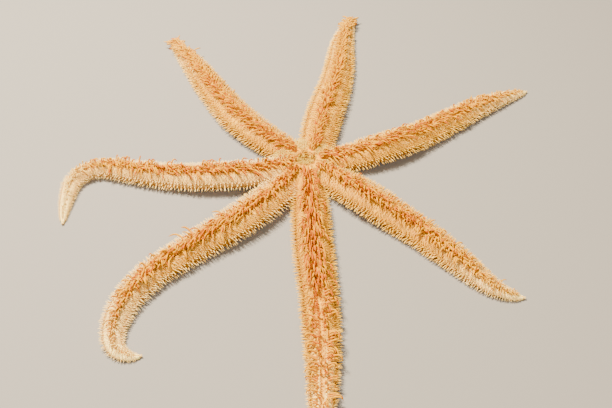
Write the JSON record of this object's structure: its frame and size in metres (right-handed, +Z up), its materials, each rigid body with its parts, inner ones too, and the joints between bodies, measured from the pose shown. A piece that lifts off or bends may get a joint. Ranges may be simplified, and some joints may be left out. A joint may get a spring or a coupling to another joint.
{
  "type": "seven-armed sea star",
  "caption": "Life-size still model of a long-armed sea star lying on its back, with tube feet along each groove and a fringe of spines.",
  "frame": {"origin": "on the floor, straight under the mouth", "axes": "+Z up out of the mouth, +X to the right and +Y away from the viewer of the picture"},
  "size_m": [0.4448, 0.5653, 0.0234],
  "materials": {
    "disc": "moist skin over small plates",
    "arm": "moist skin over small plates, with orange-tipped feet and pale spines",
    "mouth": "thin moist membrane",
    "jaw": "limy plates and spines with a thin skin",
    "eye_plate": "limy plate with a thin skin"
  },
  "bodies": {
    "root": {"disc": "disc", "mouth": "mouth", "jaw_1": "jaw", "jaw_2": "jaw", "jaw_3": "jaw", "jaw_4": "jaw", "jaw_5": "jaw", "jaw_6": "jaw", "jaw_7": "jaw", "arm_east_base": "arm", "arm_east_middle": "arm", "arm_east_tip": "arm", "arm_north_base": "arm", "arm_north_middle": "arm", "arm_north_tip": "arm", "arm_northwest_base": "arm", "arm_northwest_middle": "arm", "arm_northwest_tip": "arm", "arm_west_base": "arm", "arm_west_middle": "arm", "arm_west_outer": "arm", "arm_west_bend": "arm", "arm_west_tip": "arm", "arm_southwest_base": "arm", "arm_southwest_middle": "arm", "arm_southwest_outer": "arm", "arm_southwest_bend": "arm", "arm_southwest_tip": "arm", "arm_south_base": "arm", "arm_south_middle": "arm", "arm_south_tip": "arm", "arm_southeast_base": "arm", "arm_southeast_middle": "arm", "arm_southeast_tip": "arm", "eye_plate_east": "eye_plate", "eye_plate_north": "eye_plate", "eye_plate_northwest": "eye_plate", "eye_plate_west": "eye_plate", "eye_plate_southwest": "eye_plate", "eye_plate_south": "eye_plate", "eye_plate_southeast": "eye_plate"}
  },
  "joints": []
}
